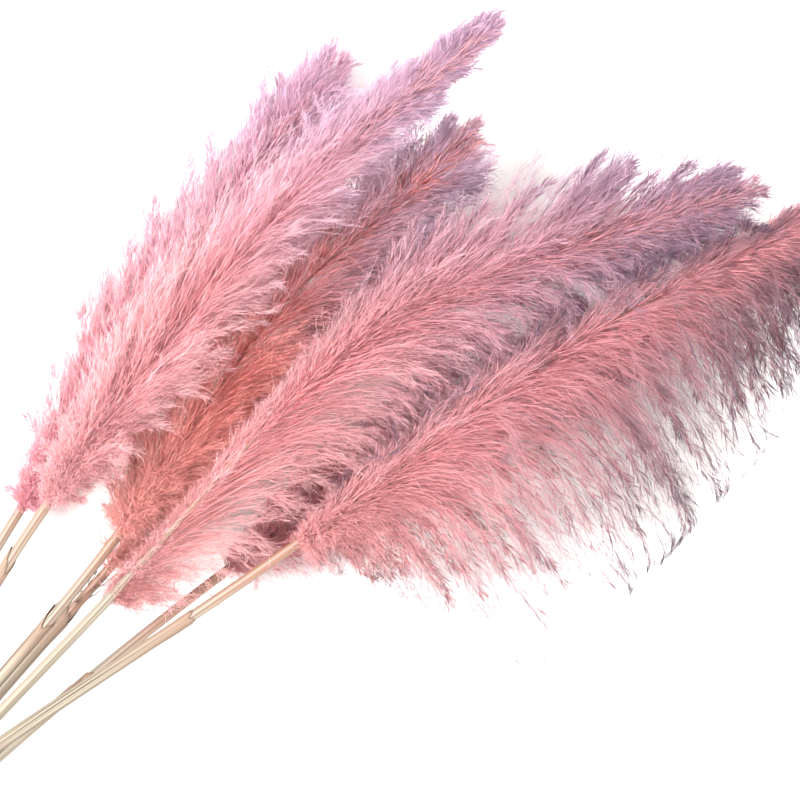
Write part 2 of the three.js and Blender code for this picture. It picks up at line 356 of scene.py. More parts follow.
def dyed_hair(name, dye, body):
    """Silky hairs of a dyed seed head: thin, dry and matt, so that much of the light that the eye sees
    has shone through them. Deep in the plume the colour is painted darker and stronger as painted shade,
    at the surface it is painted pale as painted light, and the far end turns to mauve; on plume 7 the
    far end and the fringe are painted dark grey-mauve as painted shade. U runs along the plume and V from
    the rachis out to the surface."""
    material, tree = new_material(name)
    uv = add(tree, "ShaderNodeUVMap", uv_map=BAKE_MAP).outputs["UV"]
    split = add(tree, "ShaderNodeSeparateXYZ", {0: uv})
    along, outward = split.outputs["X"], split.outputs["Y"]
    # Painted shade and painted light: out from the rachis the colour runs from the dark deep one to the
    # pale lit one.
    near = add(tree, "ShaderNodeValToRGB", {0: outward},
               [(0.0, dye["deep"]), (0.38, body), (0.72, dye["lit"])])
    far = add(tree, "ShaderNodeValToRGB", {0: outward},
              [(0.0, body), (0.28, dye["end"]), (1.0, dye["fringe"])])

    # The change to the far colours comes with the way along the plume and with the way outwards. On plume
    # 7 they are painted shade.
    far_along = add(tree, "ShaderNodeMath", {0: along, 1: dye["far_weights"][0]}, operation="MULTIPLY")
    far_out = add(tree, "ShaderNodeMath", {0: outward, 1: dye["far_weights"][1], 2: far_along.outputs[0]},
                  operation="MULTIPLY_ADD")
    far_blend = add(tree, "ShaderNodeMapRange", {0: far_out.outputs[0], "From Min": 0.45, "From Max": 0.95})
    colour = add(tree, "ShaderNodeMix", {0: far_blend.outputs[0], 6: near.outputs[0], 7: far.outputs[0]},
                 data_type="RGBA").outputs[2]

    # The tuft at the base has a colour of its own.
    near_base = add(tree, "ShaderNodeMath", {0: outward, 1: 0.35, 2: along}, operation="MULTIPLY_ADD")
    base = add(tree, "ShaderNodeMapRange", {0: near_base.outputs[0], "From Min": 0.08, "From Max": 0.42,
                                            "To Min": 0.8, "To Max": 0.0})
    colour = add(tree, "ShaderNodeMix", {0: base.outputs[0], 6: colour, 7: dye["base"]},
                 data_type="RGBA").outputs[2]

    # Hairs took up the dye unevenly: a coarse and a fine pattern of lighter and darker.
    for size, darkest in ((HAIR_LOCK, "#e6dcde"), (HAIR_TRESS, "#ece4e6")):
        noise = add(tree, "ShaderNodeTexNoise", {"Vector": uv, "Scale": PLUME_LONG / size, "Detail": 1.0})
        tone = add(tree, "ShaderNodeValToRGB", {0: noise.outputs["Fac"]},
                   [(0.3, darkest), (0.62, "#ffffff")])
        colour = add(tree, "ShaderNodeMix", {0: 1.0, 6: colour, 7: tone.outputs[0]},
                     data_type="RGBA", blend_type="MULTIPLY").outputs[2]

    # Light that shines through many thin hairs is paler than light off one. It is less so in the fringe.
    shader = add(tree, "ShaderNodeBsdfPrincipled",
                 {"Base Color": colour, "Roughness": 0.62, "Specular IOR Level": 0.25})
    pale = add(tree, "ShaderNodeMapRange", {0: far_blend.outputs[0], "From Min": 0.1, "To Min": 0.6,
                                            "To Max": dye["glow"]})
    glow = add(tree, "ShaderNodeMix", {0: pale.outputs[0], 6: colour, 7: "#fff0f0"}, data_type="RGBA")
    through = add(tree, "ShaderNodeBsdfTranslucent", {"Color": glow.outputs[2]})
    both = add(tree, "ShaderNodeMixShader", {0: 0.7, 1: shader.outputs[0], 2: through.outputs[0]})
    add(tree, "ShaderNodeOutputMaterial", {0: both.outputs[0]})
    return material


def dry_cane(name, settings):
    """Dried grass cane: pale straw with fine lengthwise fibres, the faint gloss of its waxy skin, and
    stains where the dye ran down. Its rachis is browner. U runs round the cane and V along it."""
    material, tree = new_material(name)
    uv = add(tree, "ShaderNodeUVMap", uv_map=BAKE_MAP).outputs["UV"]
    along = add(tree, "ShaderNodeSeparateXYZ", {0: uv}).outputs["Y"]
    stretch = add(tree, "ShaderNodeMapping", {
        "Vector": uv, "Scale": (CANE_ROUND / CANE_FIBRE[0], CANE_LONG / CANE_FIBRE[1], 1.0)})
    fibres = add(tree, "ShaderNodeTexNoise", {"Vector": stretch.outputs[0], "Scale": 1.0, "Detail": 4.0})
    straw = add(tree, "ShaderNodeValToRGB", {0: fibres.outputs["Fac"]},
                [(0.36, settings.dark_fibre), (0.5, settings.straw), (0.64, settings.pale_fibre)])
    stretch = add(tree, "ShaderNodeMapping", {
        "Vector": uv, "Scale": (CANE_ROUND / CANE_STAIN[0], CANE_LONG / CANE_STAIN[1], 1.0)})
    stains = add(tree, "ShaderNodeTexNoise", {"Vector": stretch.outputs[0], "Scale": 1.0, "Detail": 3.0})
    stained = add(tree, "ShaderNodeValToRGB", {0: stains.outputs["Fac"]},
                  [(0.52, "#000000"), (0.7, "#9a9a9a")])
    colour = add(tree, "ShaderNodeMix", {0: stained.outputs[0], 6: straw.outputs[0], 7: settings.stain},
                 data_type="RGBA").outputs[2]
    rachis = add(tree, "ShaderNodeMapRange", {0: along, "From Min": 0.44, "From Max": 0.52,
                                              "To Max": 0.85})
    colour = add(tree, "ShaderNodeMix", {0: rachis.outputs[0], 6: colour, 7: settings.rachis},
                 data_type="RGBA").outputs[2]
    bump = add(tree, "ShaderNodeBump", {"Height": fibres.outputs["Fac"], "Strength": 0.25,
                                        "Distance": 0.6 * MM})
    shader = add(tree, "ShaderNodeBsdfPrincipled",
                 {"Base Color": colour, "Normal": bump.outputs[0], "Roughness": 0.48})
    add(tree, "ShaderNodeOutputMaterial", {0: shader.outputs[0]})
    return material


def papery_leaf(name, settings):
    """Dead leaf sheath: matt and papery, so it has no gloss, tan with brown veins lengthwise and darker
    where its end is torn. U runs round the sheath and V along it."""
    material, tree = new_material(name)
    uv = add(tree, "ShaderNodeUVMap", uv_map=BAKE_MAP).outputs["UV"]
    along = add(tree, "ShaderNodeSeparateXYZ", {0: uv}).outputs["Y"]
    stretch = add(tree, "ShaderNodeMapping", {
        "Vector": uv, "Scale": (SHEATH_ROUND / LEAF_VEIN[0], SHEATH_LONG / LEAF_VEIN[1], 1.0)})
    veins = add(tree, "ShaderNodeTexNoise", {"Vector": stretch.outputs[0], "Scale": 1.0, "Detail": 3.0})
    tan = add(tree, "ShaderNodeValToRGB", {0: veins.outputs["Fac"]},
              [(0.36, settings.dark_vein), (0.5, settings.tan), (0.64, settings.pale_vein)])
    stretch = add(tree, "ShaderNodeMapping", {
        "Vector": uv, "Scale": (SHEATH_ROUND / LEAF_SPOT[0], SHEATH_LONG / LEAF_SPOT[1], 1.0)})
    spots = add(tree, "ShaderNodeTexNoise", {"Vector": stretch.outputs[0], "Scale": 1.0, "Detail": 4.0})
    spotted = add(tree, "ShaderNodeValToRGB", {0: spots.outputs["Fac"]},
                  [(0.5, "#000000"), (0.72, "#b0b0b0")])
    colour = add(tree, "ShaderNodeMix", {0: spotted.outputs[0], 6: tan.outputs[0], 7: settings.spot},
                 data_type="RGBA").outputs[2]
    torn = add(tree, "ShaderNodeMapRange", {0: along, "From Min": 0.8, "From Max": 1.0, "To Max": 0.6})
    colour = add(tree, "ShaderNodeMix", {0: torn.outputs[0], 6: colour, 7: settings.torn},
                 data_type="RGBA").outputs[2]
    bump = add(tree, "ShaderNodeBump", {"Height": veins.outputs["Fac"], "Strength": 0.4,
                                        "Distance": 0.8 * MM})
    shader = add(tree, "ShaderNodeBsdfPrincipled",
                 {"Base Color": colour, "Normal": bump.outputs[0], "Roughness": 0.72})
    add(tree, "ShaderNodeOutputMaterial", {0: shader.outputs[0]})
    return material


def painted_floor(name, settings):
    """Matt paint on a smooth board: pale and without gloss, a little uneven where the roller went."""
    material, tree = new_material(name)
    place = add(tree, "ShaderNodeTexCoord").outputs["Object"]
    grain = add(tree, "ShaderNodeTexNoise", {"Vector": place, "Scale": 1.0 / (FLOOR_GRAIN * MM),
                                             "Detail": 3.0})
    paint = add(tree, "ShaderNodeMapRange", {0: grain.outputs["Fac"], "To Min": 0.88, "To Max": 0.93})
    shader = add(tree, "ShaderNodeBsdfPrincipled",
                 {"Base Color": settings.floor, "Roughness": paint.outputs[0]})
    add(tree, "ShaderNodeOutputMaterial", {0: shader.outputs[0]})
    return material


# ---- Settings ----
def length_setting(name, description, millimetres):
    """A length that a user can change, with its default in millimetres."""
    return bpy.props.FloatProperty(name=name, description=description, default=millimetres * MM, min=0.0,
                                   precision=5, unit="LENGTH")


def count_setting(name, description, default):
    """A number of hairs for each branch that a user can change."""
    return bpy.props.FloatProperty(name=name, description=description, default=default, min=0.0)


def colour_setting(name, description, default):
    """A colour that a user can change, with its default as an sRGB hex value."""
    return bpy.props.FloatVectorProperty(name=name, description=description, default=linear(default),
                                         min=0.0, max=1.0, size=4, subtype="COLOR")


class CaneSettings(bpy.types.PropertyGroup):
    """Sizes and colours of the canes."""

    cut_radius: length_setting("Cut radius", "Radius at the cut end", 5.2)
    neck_radius: length_setting("Neck radius", "Radius where the plume starts", 4.0)
    rachis_radius: length_setting("Rachis radius", "Radius a little way into the plume", 2.3)
    tip_radius: length_setting("Tip radius", "Radius of the rachis near its tip", 0.7)
    joint_swell: length_setting("Joint swell", "How far the joint ring stands out", 0.7)
    dark_fibre: colour_setting("Dark fibre", "Colour of the darkest fibres", "#453a30")
    straw: colour_setting("Straw", "Main colour of the cane", "#6b6150")
    pale_fibre: colour_setting("Pale fibre", "Colour of the palest fibres", "#80796a")
    stain: colour_setting("Stain", "Colour where dye ran down the cane", "#7a564f")
    rachis: colour_setting("Rachis", "Colour of the cane inside the plume", "#6f4a39")


class SheathSettings(bpy.types.PropertyGroup):
    """Sizes and colours of the leaf sheaths."""

    wall: length_setting("Wall", "Thickness of the papery leaf", 0.25)
    gap: length_setting("Gap", "Room between cane and sheath", 0.15)
    overlap_gap: length_setting("Overlap gap", "Room between the turns of the leaf", 0.08)
    flare: length_setting("Flare", "How far the mouth opens", 0.9)
    dark_vein: colour_setting("Dark vein", "Colour of the darkest veins", "#3e352a")
    tan: colour_setting("Tan", "Main colour of the leaf", "#665d4d")
    pale_vein: colour_setting("Pale vein", "Colour of the palest veins", "#7d7566")
    spot: colour_setting("Spot", "Colour of the spots of dye", "#6e554c")
    torn: colour_setting("Torn", "Colour of the torn end", "#6f5242")


class PlumeSettings(bpy.types.PropertyGroup):
    """Numbers, sizes and body colours of the plumes."""

    branches: bpy.props.IntProperty(
        name="Branches", description="Side branches of a plume of normal thickness", default=450)
    bed: count_setting("Bed", "Broad spikelets deep inside, for each branch", 20.0)
    tuft: count_setting("Tuft", "Curly hairs at the base of a plume, for each of all its branches", 4.0)
    down: count_setting("Down", "Short straight hairs for each branch", 30.0)
    hairs: count_setting("Hairs", "Bent hairs for each branch", 34.0)
    silk: count_setting("Silk", "Long wavy hairs for each branch", 5.0)
    hair_length: length_setting("Hair length", "Length of a full grown hair", 32.0)
    hair_radius: length_setting("Hair radius", "Half thickness of a hair at its middle", 0.18)
    seed: bpy.props.IntProperty(name="Seed", description="Start of the random draws", default=7)
    rose: colour_setting("Rose", "Body colour of plume 1", "#f9c1cc")
    blush: colour_setting("Blush", "Body colour of plume 2", "#f4c0c4")
    coral: colour_setting("Coral", "Body colour of plumes 3 and 4", "#f5a398")
    dusty: colour_setting("Dusty", "Body colour of plume 5", "#f6bec0")
    plum: colour_setting("Plum", "Body colour of plume 6", "#e8a3ac")
    veil: colour_setting("Veil", "Body colour of plume 7", "#f4c0c4")


class StudioSettings(bpy.types.PropertyGroup):
    """The floor, the light and the camera."""

    floor: colour_setting("Floor", "Colour of the floor", "#c6c3c0")
    air: colour_setting("Air", "Colour of the light from all round", "#f6f4f6")
    air_light: bpy.props.FloatProperty(
        name="Air light", description="Strength of the light from all round", default=2.9)
    lens: bpy.props.FloatProperty(
        name="Lens", description="Focal length in millimetres", default=200.0)
    window: length_setting("Window", "Width of the view at the height of the heap", 640)


# ---- Canes ----
CANE_SIDES = 22
CANE_ROWS = 110
JOINT_BELOW = 3 * MM  # how far under the sheath the joint ring sits, since the leaf grows out of it
# Shares of the plume at which the rachis has its full radius, is halfway to its tip's, and ends.
RACHIS_SHARES = (0.12, 0.3, 0.93)
# The rings of the cut face, from the pith out: their share of the radius, and millimetres sunk.
CUT_FACE = np.array([[0.35, 2.2], [0.62, 0.6], [0.9, 0.0]])


def tube(stalk, arcs, radii, sides):
    """Rings of points round the stalk's line: radius r(arc, angle) off the line at each arc length."""
    angle = np.linspace(0.0, TURN, sides, endpoint=False)
    point, _, left, up = stalk.at(arcs)
    ring = left[:, None] * np.cos(angle)[:, None] + up[:, None] * np.sin(angle)[:, None]
    return point[:, None] + ring * radii[..., None]


def ring_uvs(rows, columns, heights):
    """Corner UVs of grid_faces with wrap: U round the tube, V as given for each row."""
    i, j = np.meshgrid(np.arange(rows - 1), np.arange(columns), indexing="ij")
    u0, u1 = j / columns, (j + 1) / columns
    v0, v1 = heights[i], heights[i + 1]
    uv = np.stack([np.stack(pair, axis=-1) for pair in ((u0, v0), (u1, v0), (u1, v1), (u0, v1))],
                  axis=2)
    return uv.reshape(-1, 2)


def make_cane(stalk, settings, material):
    """A tapering cane: radius falls from the cut end to the neck and on to the rachis tip. The skin
    has shallow lengthwise ribs, a joint ring with a groove over it, and a cut end with a soft pith
    that has shrunk back into it."""
    joint = stalk.sheath[0] - JOINT_BELOW
    plume = stalk.length - stalk.neck
    full, halfway, end = (stalk.neck + plume * share for share in RACHIS_SHARES)
    arcs = np.unique(np.concatenate([
        np.linspace(0.0, end, CANE_ROWS), joint + np.linspace(-6, 6, 13) * MM]))
    radius = np.interp(arcs, [0.0, stalk.neck, full, halfway, end],
                       [settings.cut_radius, settings.neck_radius, settings.rachis_radius,
                        0.5 * (settings.rachis_radius + settings.tip_radius), settings.tip_radius])
    off = (arcs - joint) / MM
    radius = radius + settings.joint_swell * (np.exp(-(off / 1.6) ** 2)
                                              - 0.5 * np.exp(-((off - 3.2) / 1.0) ** 2))
    angle = np.linspace(0.0, TURN, CANE_SIDES, endpoint=False)
    ribs = 0.012 * np.sin(7 * angle + stalk.number) + 0.010 * np.sin(11 * angle + 2 * stalk.number)
    radii = radius[:, None] * (1.0 + ribs)
    face_rows = tube(stalk, CUT_FACE[:, 1] * MM, radii[0] * CUT_FACE[:, :1], CANE_SIDES)
    rows = np.concatenate([face_rows, tube(stalk, arcs, radii, CANE_SIDES)])
    heights = np.concatenate([np.zeros(3), arcs / stalk.length])
    count = len(rows)
    points = rows.reshape(-1, 3)
    quads = grid_faces(count, CANE_SIDES, True)
    uvs = ring_uvs(count, CANE_SIDES, heights).reshape(-1, 4, 2)
    triangles = np.concatenate([quads[:, [0, 1, 2]], quads[:, [0, 2, 3]]])
    uvs = np.concatenate([uvs[:, [0, 1, 2]], uvs[:, [0, 2, 3]]])
    hub = len(points)
    points = np.vstack([points, face_rows[0].mean(0), stalk.sample(end + 1.5 * MM)])
    j = np.arange(CANE_SIDES)
    k = (j + 1) % CANE_SIDES
    last = (count - 1) * CANE_SIDES
    caps = np.concatenate([np.column_stack([np.full(CANE_SIDES, hub), k, j]),
                           np.column_stack([np.full(CANE_SIDES, hub + 1), last + j, last + k])])
    cap_uvs = np.zeros((len(caps), 3, 2))
    cap_uvs[:, :, 0] = np.array([0.5, 0.6, 0.4])
    cap_uvs[:CANE_SIDES, :, 1] = np.array([0.002, 0.006, 0.004])
    cap_uvs[CANE_SIDES:, :, 1] = np.array([0.992, 0.996, 0.998])
    faces = np.concatenate([triangles, caps])
    return piece(f"cane_{stalk.number}", points, faces, np.concatenate([uvs, cap_uvs]).reshape(-1, 2),
                 material, "cane", f"stem_{stalk.number}")


# ---- Leaf sheaths ----
SHEATH_COLUMNS = 30
SHEATH_ROWS = 60
WRAP = 1.18  # turns that the leaf makes round the cane, so that one edge overlaps the other


def make_sheath(stalk, settings, cane, material):
    """A leaf rolled round the cane: a sheet whose angle runs over WRAP turns while its radius grows
    by a little more than the wall, so its edges overlap. The mouth flares and its rim is ragged."""
    rng = np.random.default_rng(100 + stalk.number)
    low, high = stalk.sheath
    u = np.linspace(0.0, 1.0, SHEATH_COLUMNS)[None, :]
    v = np.linspace(0.0, 1.0, SHEATH_ROWS)[:, None]
    rim = np.zeros_like(u)
    for waves, size in ((1, 9.0), (2, 4.0), (5, 1.6), (11, 0.8)):
        rim = rim + size * MM * np.sin(TURN * waves * u + rng.uniform(0, TURN))
    arc = low + (high - low) * v + rim * smooth(0.85, 1.0, v)
    bare = np.interp(arc, [0.0, stalk.neck], [cane.cut_radius, cane.neck_radius])
    ripple = 0.12 * MM * np.sin(TURN * 3 * u + 9.0 * v) * smooth(0.3, 1.0, v)
    radius = bare + settings.gap + (settings.wall + settings.overlap_gap) * u * WRAP + ripple
    radius = radius + settings.flare * smooth(0.9, 1.0, v) ** 2 * (0.6 + 0.4 * np.sin(TURN * u + 1.0))
    start = rng.uniform(0, TURN)
    angle = start + TURN * WRAP * u + 0 * v
    point, _, left, up = stalk.at(arc)
    ring = left * np.cos(angle)[..., None] + up * np.sin(angle)[..., None]
    sides = [point + ring * r[..., None] for r in (radius, radius + settings.wall)]
    both = np.stack(sides).reshape(-1, 3)
    size = SHEATH_ROWS * SHEATH_COLUMNS
    inner = grid_faces(SHEATH_ROWS, SHEATH_COLUMNS, False)
    edge = np.concatenate([
        np.arange(SHEATH_COLUMNS),
        np.arange(1, SHEATH_ROWS) * SHEATH_COLUMNS + SHEATH_COLUMNS - 1,
        (SHEATH_ROWS - 1) * SHEATH_COLUMNS + np.arange(SHEATH_COLUMNS - 2, -1, -1),
        np.arange(SHEATH_ROWS - 2, 0, -1) * SHEATH_COLUMNS])
    after = np.roll(edge, -1)
    walls = np.column_stack([edge, edge + size, after + size, after])
    quads = np.concatenate([inner[:, ::-1], inner + size, walls[:, ::-1]])
    base_uv = np.stack(np.broadcast_arrays(u, v), axis=-1).reshape(-1, 2)
    uvs = np.concatenate([base_uv, base_uv])[quads]
    faces = np.concatenate([quads[:, [0, 1, 2]], quads[:, [0, 2, 3]]])
    uvs = np.concatenate([uvs[:, [0, 1, 2]], uvs[:, [0, 2, 3]]])
    return piece(f"leaf_sheath_{stalk.number}", both, faces, uvs.reshape(-1, 2), material,
                 "leaf_sheath", f"sheath_{stalk.number}")


FRILL_STALK = 4
FRILL_STRIPS = 16


def make_frill(stalk, material):
    """The shredded top of the leaf on one stalk, just under its plume: strips that start on the cane
    and curl up, as helices of growing radius about a line that runs forward with the cane."""
    rng = np.random.default_rng(40 + stalk.number)
    s = np.linspace(0.0, 1.0, 18)[None, :]
    one = (FRILL_STRIPS, 1)
    arc = stalk.neck - rng.uniform(8, 44, one) * MM + rng.uniform(10, 26, one) * MM * s
    point, ahead, left, up = stalk.at(arc)
    round_cane = rng.uniform(0, TURN, one)
    away = (4.2 + rng.uniform(3, 9, one) * s) * MM
    twist = rng.uniform(0, TURN, one) + TURN * rng.uniform(0.8, 2.0, one) * s
    curl = rng.uniform(2.0, 4.5, one) * MM * np.sin(math.pi * s) ** 0.8
    out = left * np.cos(round_cane)[..., None] + up * np.sin(round_cane)[..., None]
    path = point + out * away[..., None]
    path = path + curl[..., None] * (ahead * np.cos(twist)[..., None] + up * np.sin(twist)[..., None])
    radii = rng.uniform(0.35, 0.6, one) * MM * np.sin(math.pi * (0.06 + 0.9 * s)) ** 0.5
    uv = np.stack(np.broadcast_arrays(0.05 + 0.9 * rng.uniform(0, 1, one), 0.30 + 0.35 * s), axis=-1)
    made = strands(settle(path, rng), radii, uv, rng.uniform(0, TURN, FRILL_STRIPS))
    return piece(f"leaf_frill_{stalk.number}", made[0], made[1], made[2].reshape(-1, 2), material,
                 "leaf_sheath")


# ---- Plumes ----
BRANCH_KNOTS = 12
BRANCH_RADIUS = 0.45 * MM
ENDS = (0.02, 0.965)  # where the branches end, as shares of the plume
TIP_ENDS = (0.80, 0.985)  # where those that fill the tip end
TIP_SHARE = 0.16  # how many of them fill the tip
YOUNG_END = 0.16  # a branch that ends before this carries the curly tuft at the base
LEAST_REACH = 0.34  # how far out the shortest branches go, as a share of the outline
WAVE = 4.0 * MM  # how far a branch waves from side to side
LOCK_WAVE = 2.6  # how much more a loose lock waves
HAIR_OFF = 5.0 * MM  # how far from its branch's middle line a hair may start
FLOOR_GAP = 0.8 * MM
FLOOR_LAYER = 5.0 * MM  # how thick the layer of hairs on the floor may be, on top of the gap
PRESS_DEPTH = 20 * MM  # hairs that would sink by about this are pressed close to the floor
SOFT_EDGE = (8 * MM, 8 * MM, 1 * MM)  # hairs may reach this far out of the bunch's box unhindered,
ROOM = (15 * MM, 15 * MM, 11 * MM)  # and at most by this much farther
CREST = 16 * MM  # branches first climb over the rachis by 0.38 of this at most, and so they hide it
HANG = np.array([-0.70, -0.66, -0.28])  # the way in which loose ends fall: back, right and down


def half_width(side, share):
    """Outline of one side of a plume over its length: width * sin(pi * share ** p) ** blunt, with p
    set so that the widest place is at the share called fullest. It is 0 at both ends, and blunt
    differs between the base side and the tip side of the widest place."""
    width, fullest, base, tip = side
    power = math.log(0.5) / math.log(fullest)
    blunt = np.where(share < fullest, base, tip)
    return width * MM * np.sin(math.pi * np.clip(share, 0.0, 1.0) ** power) ** blunt


def settle(points, rng):
    """Lifts what would sink into the floor, so that hairs lie on it in a thin uneven layer, and eases
    back what would reach far out of the bunch's own box: beyond a soft edge, a distance d becomes
    room * (1 - exp(-d / room))."""
    for axis in range(3):
        low, high = CAD_BOX[0][axis] - SOFT_EDGE[axis], CAD_BOX[1][axis] + SOFT_EDGE[axis]
        over = np.maximum(points[..., axis] - high, 0.0)
        under = np.maximum(low - points[..., axis], 0.0)
        room = ROOM[axis]
        points[..., axis] += (room * (1 - np.exp(-over / room)) - over
                              - room * (1 - np.exp(-under / room)) + under)
    height = points[..., 2]
    layer = FLOOR_GAP + rng.uniform(0.0, 1.0, height.shape[:1])[:, None] * FLOOR_LAYER
    press = layer - (layer - FLOOR_GAP) * (1 - np.exp(np.minimum(height - layer, 0.0) / PRESS_DEPTH))
    points[..., 2] = np.where(height < layer, press, height)
    return points


class Branches:
    """Middle lines of the side branches of one plume. Over its own length s from 0 to 1, a branch
    runs forward along the plume as (s - arch * s ** 2) / (1 - arch), and out from the rachis as
    reach * s ** 1.3 of the outline at a fixed angle round it. It has slow random waves, and its
    loose end hangs. For each branch, bare says where it runs beside the parting, deep whether it
    lies low inside the plume, young whether it belongs to the base, crest how far up it stands, and
    tight how closely its hairs keep to it."""

    def __init__(self, stalk, shape, count, rng):
        s = np.linspace(0.0, 1.0, BRANCH_KNOTS)[None, :]
        one = (count, 1)
        end = rng.uniform(*ENDS, one)
        end = np.where(rng.uniform(0, 1, one) < TIP_SHARE, rng.uniform(*TIP_ENDS, one), end)
        wish = shape["run"] * rng.uniform(0.7, 1.25, one) * (1.25 - 0.75 * end)
        origin = end - np.minimum(wish, end * rng.uniform(0.5, 1.0, one))
        right = rng.uniform(0, 1, one) < shape["right_share"]
        turn = np.arcsin(rng.uniform(-1.0, 1.0, one))
        turn = np.where(origin < shape["parting"], -np.abs(turn) * 0.8, turn)
        reach = LEAST_REACH + (1.0 - LEAST_REACH) * rng.uniform(0, 1, one) ** 0.42
        reach = np.where(end > 0.85, reach * np.sqrt(rng.uniform(0, 1, one)), reach)
        lock = rng.uniform(0, 1, one) < shape["locks"]
        reach = np.where(lock, rng.uniform(1.0, 1.12, one), reach)
        arch = shape["arch"] * np.where(right, 1.0, 0.35) * rng.uniform(0.7, 1.15, one)
        self.share = origin + (end - origin) * (s - arch * s ** 2) / (1 - arch)
        self.out = reach * s ** 1.3
        wide = np.where(right, -half_width(shape["right"], self.share),
                        half_width(shape["left"], self.share))
        full = np.abs(wide) / (MM * np.where(right, shape["right"][0], shape["left"][0]))
        across = wide * self.out * np.cos(turn)
        rise = shape["loft"] * MM * full * self.out * np.sin(turn) + shape["lean"] * across
        rise = rise + CREST * np.sqrt(s) * (1.0 - s) * np.where(origin < shape["parting"], 0.0, 1.0)
        arc = stalk.neck + (stalk.length - stalk.neck) * self.share
        point, _, left, _ = stalk.at(arc)
        path = point + left * across[..., None]
        path[..., 2] += rise
        for waves in (1.0, 2.4, 5.0):
            phase = rng.uniform(0, TURN, (count, 1, 3))
            size = rng.uniform(0.3, 1.0, (count, 1, 3)) * WAVE / waves
            size = size * np.where(lock, LOCK_WAVE, 1.0)[..., None]
            path = path + size * np.sin(TURN * waves * s[..., None] + phase) * s[..., None]
        loose = smooth(0.4, 1.0, s) ** 1.5 * smooth(0.35, 1.0, reach) * np.where(right, 1.0, 0.3)
        loose = loose * np.where(lock, 1.5, 1.0) * smooth(0.0, 0.2, self.share)
        path = path + shape["weep"] * MM * loose[..., None] * HANG
        self.path = settle(path, rng)
        self.ahead = unit(np.gradient(self.path, axis=1))
        self.bare = self.share < shape["parting"]
        self.deep = ((turn < -0.1) & ~lock & (reach < 0.93) & (origin >= shape["parting"]))[:, 0]
        self.young = (end < YOUNG_END)[:, 0]
        self.crest = np.maximum(np.sin(turn), 0.0)[:, 0]
        self.tight = np.where(lock, 0.30, 1.0)[:, 0]

    def at(self, values, branch, place):
        """Values of the knots at a fractional place on each chosen branch, by straight steps."""
        knot = np.clip(place * (BRANCH_KNOTS - 1), 0, BRANCH_KNOTS - 1.001)
        low = knot.astype(int)
        part = knot - low
        if values.ndim == 3:
            part = part[:, None]
        return values[branch, low] * (1 - part) + values[branch, low + 1] * part


# Kinds of hair: on which branches they grow, their length and radius as shares of a full grown hair's,
# their greatest angle to the branch in degrees, how much they curl, how many knots they have, and how
# far out their colour is taken from. Their number for each branch is the setting of the same name.
HAIR_KINDS = {
    # bed: its colour comes from lower on the ramp, nearer the deep colour painted as shade.
    "bed": dict(on="deep", length=0.8, radius=3.3, spread=48.0, curl=0.0, knots=2, outward=0.55),
    "tuft": dict(on="young", length=1.15, radius=1.0, spread=100.0, curl=2.0, knots=4, outward=1.0),
    "down": dict(on="all", length=0.6, radius=1.0, spread=56.0, curl=0.0, knots=2, outward=1.0),
    "hairs": dict(on="all", length=1.0, radius=1.05, spread=36.0, curl=0.8, knots=3, outward=1.0),
    "silk": dict(on="all", length=1.5, radius=0.95, spread=28.0, curl=1.4, knots=5, outward=1.0),
}


def grow_hairs(branches, chosen, count, length, kind, rng):
    """Hairs on branches drawn from the chosen ones, as (hair, knot, xyz), and their UVs. Each leaves
    its branch at a small random angle to a random side. From knot to knot it turns by a random curl
    and hangs. Near the neck of the plume the hairs are shorter and curlier."""
    knots = kind["knots"]
    branch = rng.choice(chosen, count)
    place = rng.uniform(0.0, 1.0, count) ** 0.7
    root = branches.at(branches.path, branch, place)
    ahead = unit(branches.at(branches.ahead, branch, place))
    depth = branches.at(branches.out, branch, place)
    share = branches.at(branches.share, branch, place)
    bare = branches.at(branches.bare.astype(float), branch, place) > 0.5
    drift = rng.normal(size=root.shape)
    drift[:, 2] = np.where(bare, -np.abs(drift[:, 2]), drift[:, 2])
    drift = unit(drift - (drift * ahead).sum(-1, keepdims=True) * ahead)
    off = HAIR_OFF * rng.uniform(0, 1, count) ** 0.5 * (1.0 - 0.65 * place) * branches.tight[branch]
    angle = np.radians(kind["spread"] * rng.uniform(0.05, 1.0, count) * (1.0 - 0.45 * place))
    angle = angle * branches.tight[branch]
    young = smooth(0.0, 0.3, share)
    size = length * rng.uniform(0.5, 1.2, count) * (1.0 - 0.35 * place) * (0.5 + 0.5 * young)
    size = size * (1.0 - 0.2 * share ** 6)
    way = unit(ahead * np.cos(angle)[:, None] + drift * np.sin(angle)[:, None])
    path = [root + drift * off[:, None]]
    loose = (kind["curl"] * (1.9 - 0.9 * young))[:, None]
    bend = rng.normal(size=(count, 3)) * loose
    for step in range(knots - 1):
        path.append(path[-1] + way * (size / (knots - 1))[:, None])
        way = unit(way + bend / (knots - 1) + HANG * (0.6 * depth * young / (knots - 1))[:, None])
        bend = 0.6 * bend + 0.4 * rng.normal(size=(count, 3)) * loose
    path = settle(np.stack(path, axis=1), rng)
    tone = rng.normal(0, 0.07, count) + rng.normal(0, 0.07, len(branches.path))[branch]
    steps = np.linspace(0.0, 0.12, knots)
    # Painted light: hairs on upward-standing branches take colours from nearer the rachis and the base,
    # so that plume 7's ridge stays pink, out of the dark far colours painted as shade on its sides.
    crest = branches.crest[branch]
    v = (0.06 + 0.78 * depth * (1.0 - 0.3 * crest) + tone)[:, None] + steps
    u = (share - 0.2 * crest * depth + rng.normal(0, 0.03, count))[:, None] + steps * 0.5
    return path, np.stack([u, v * kind["outward"]], axis=-1)


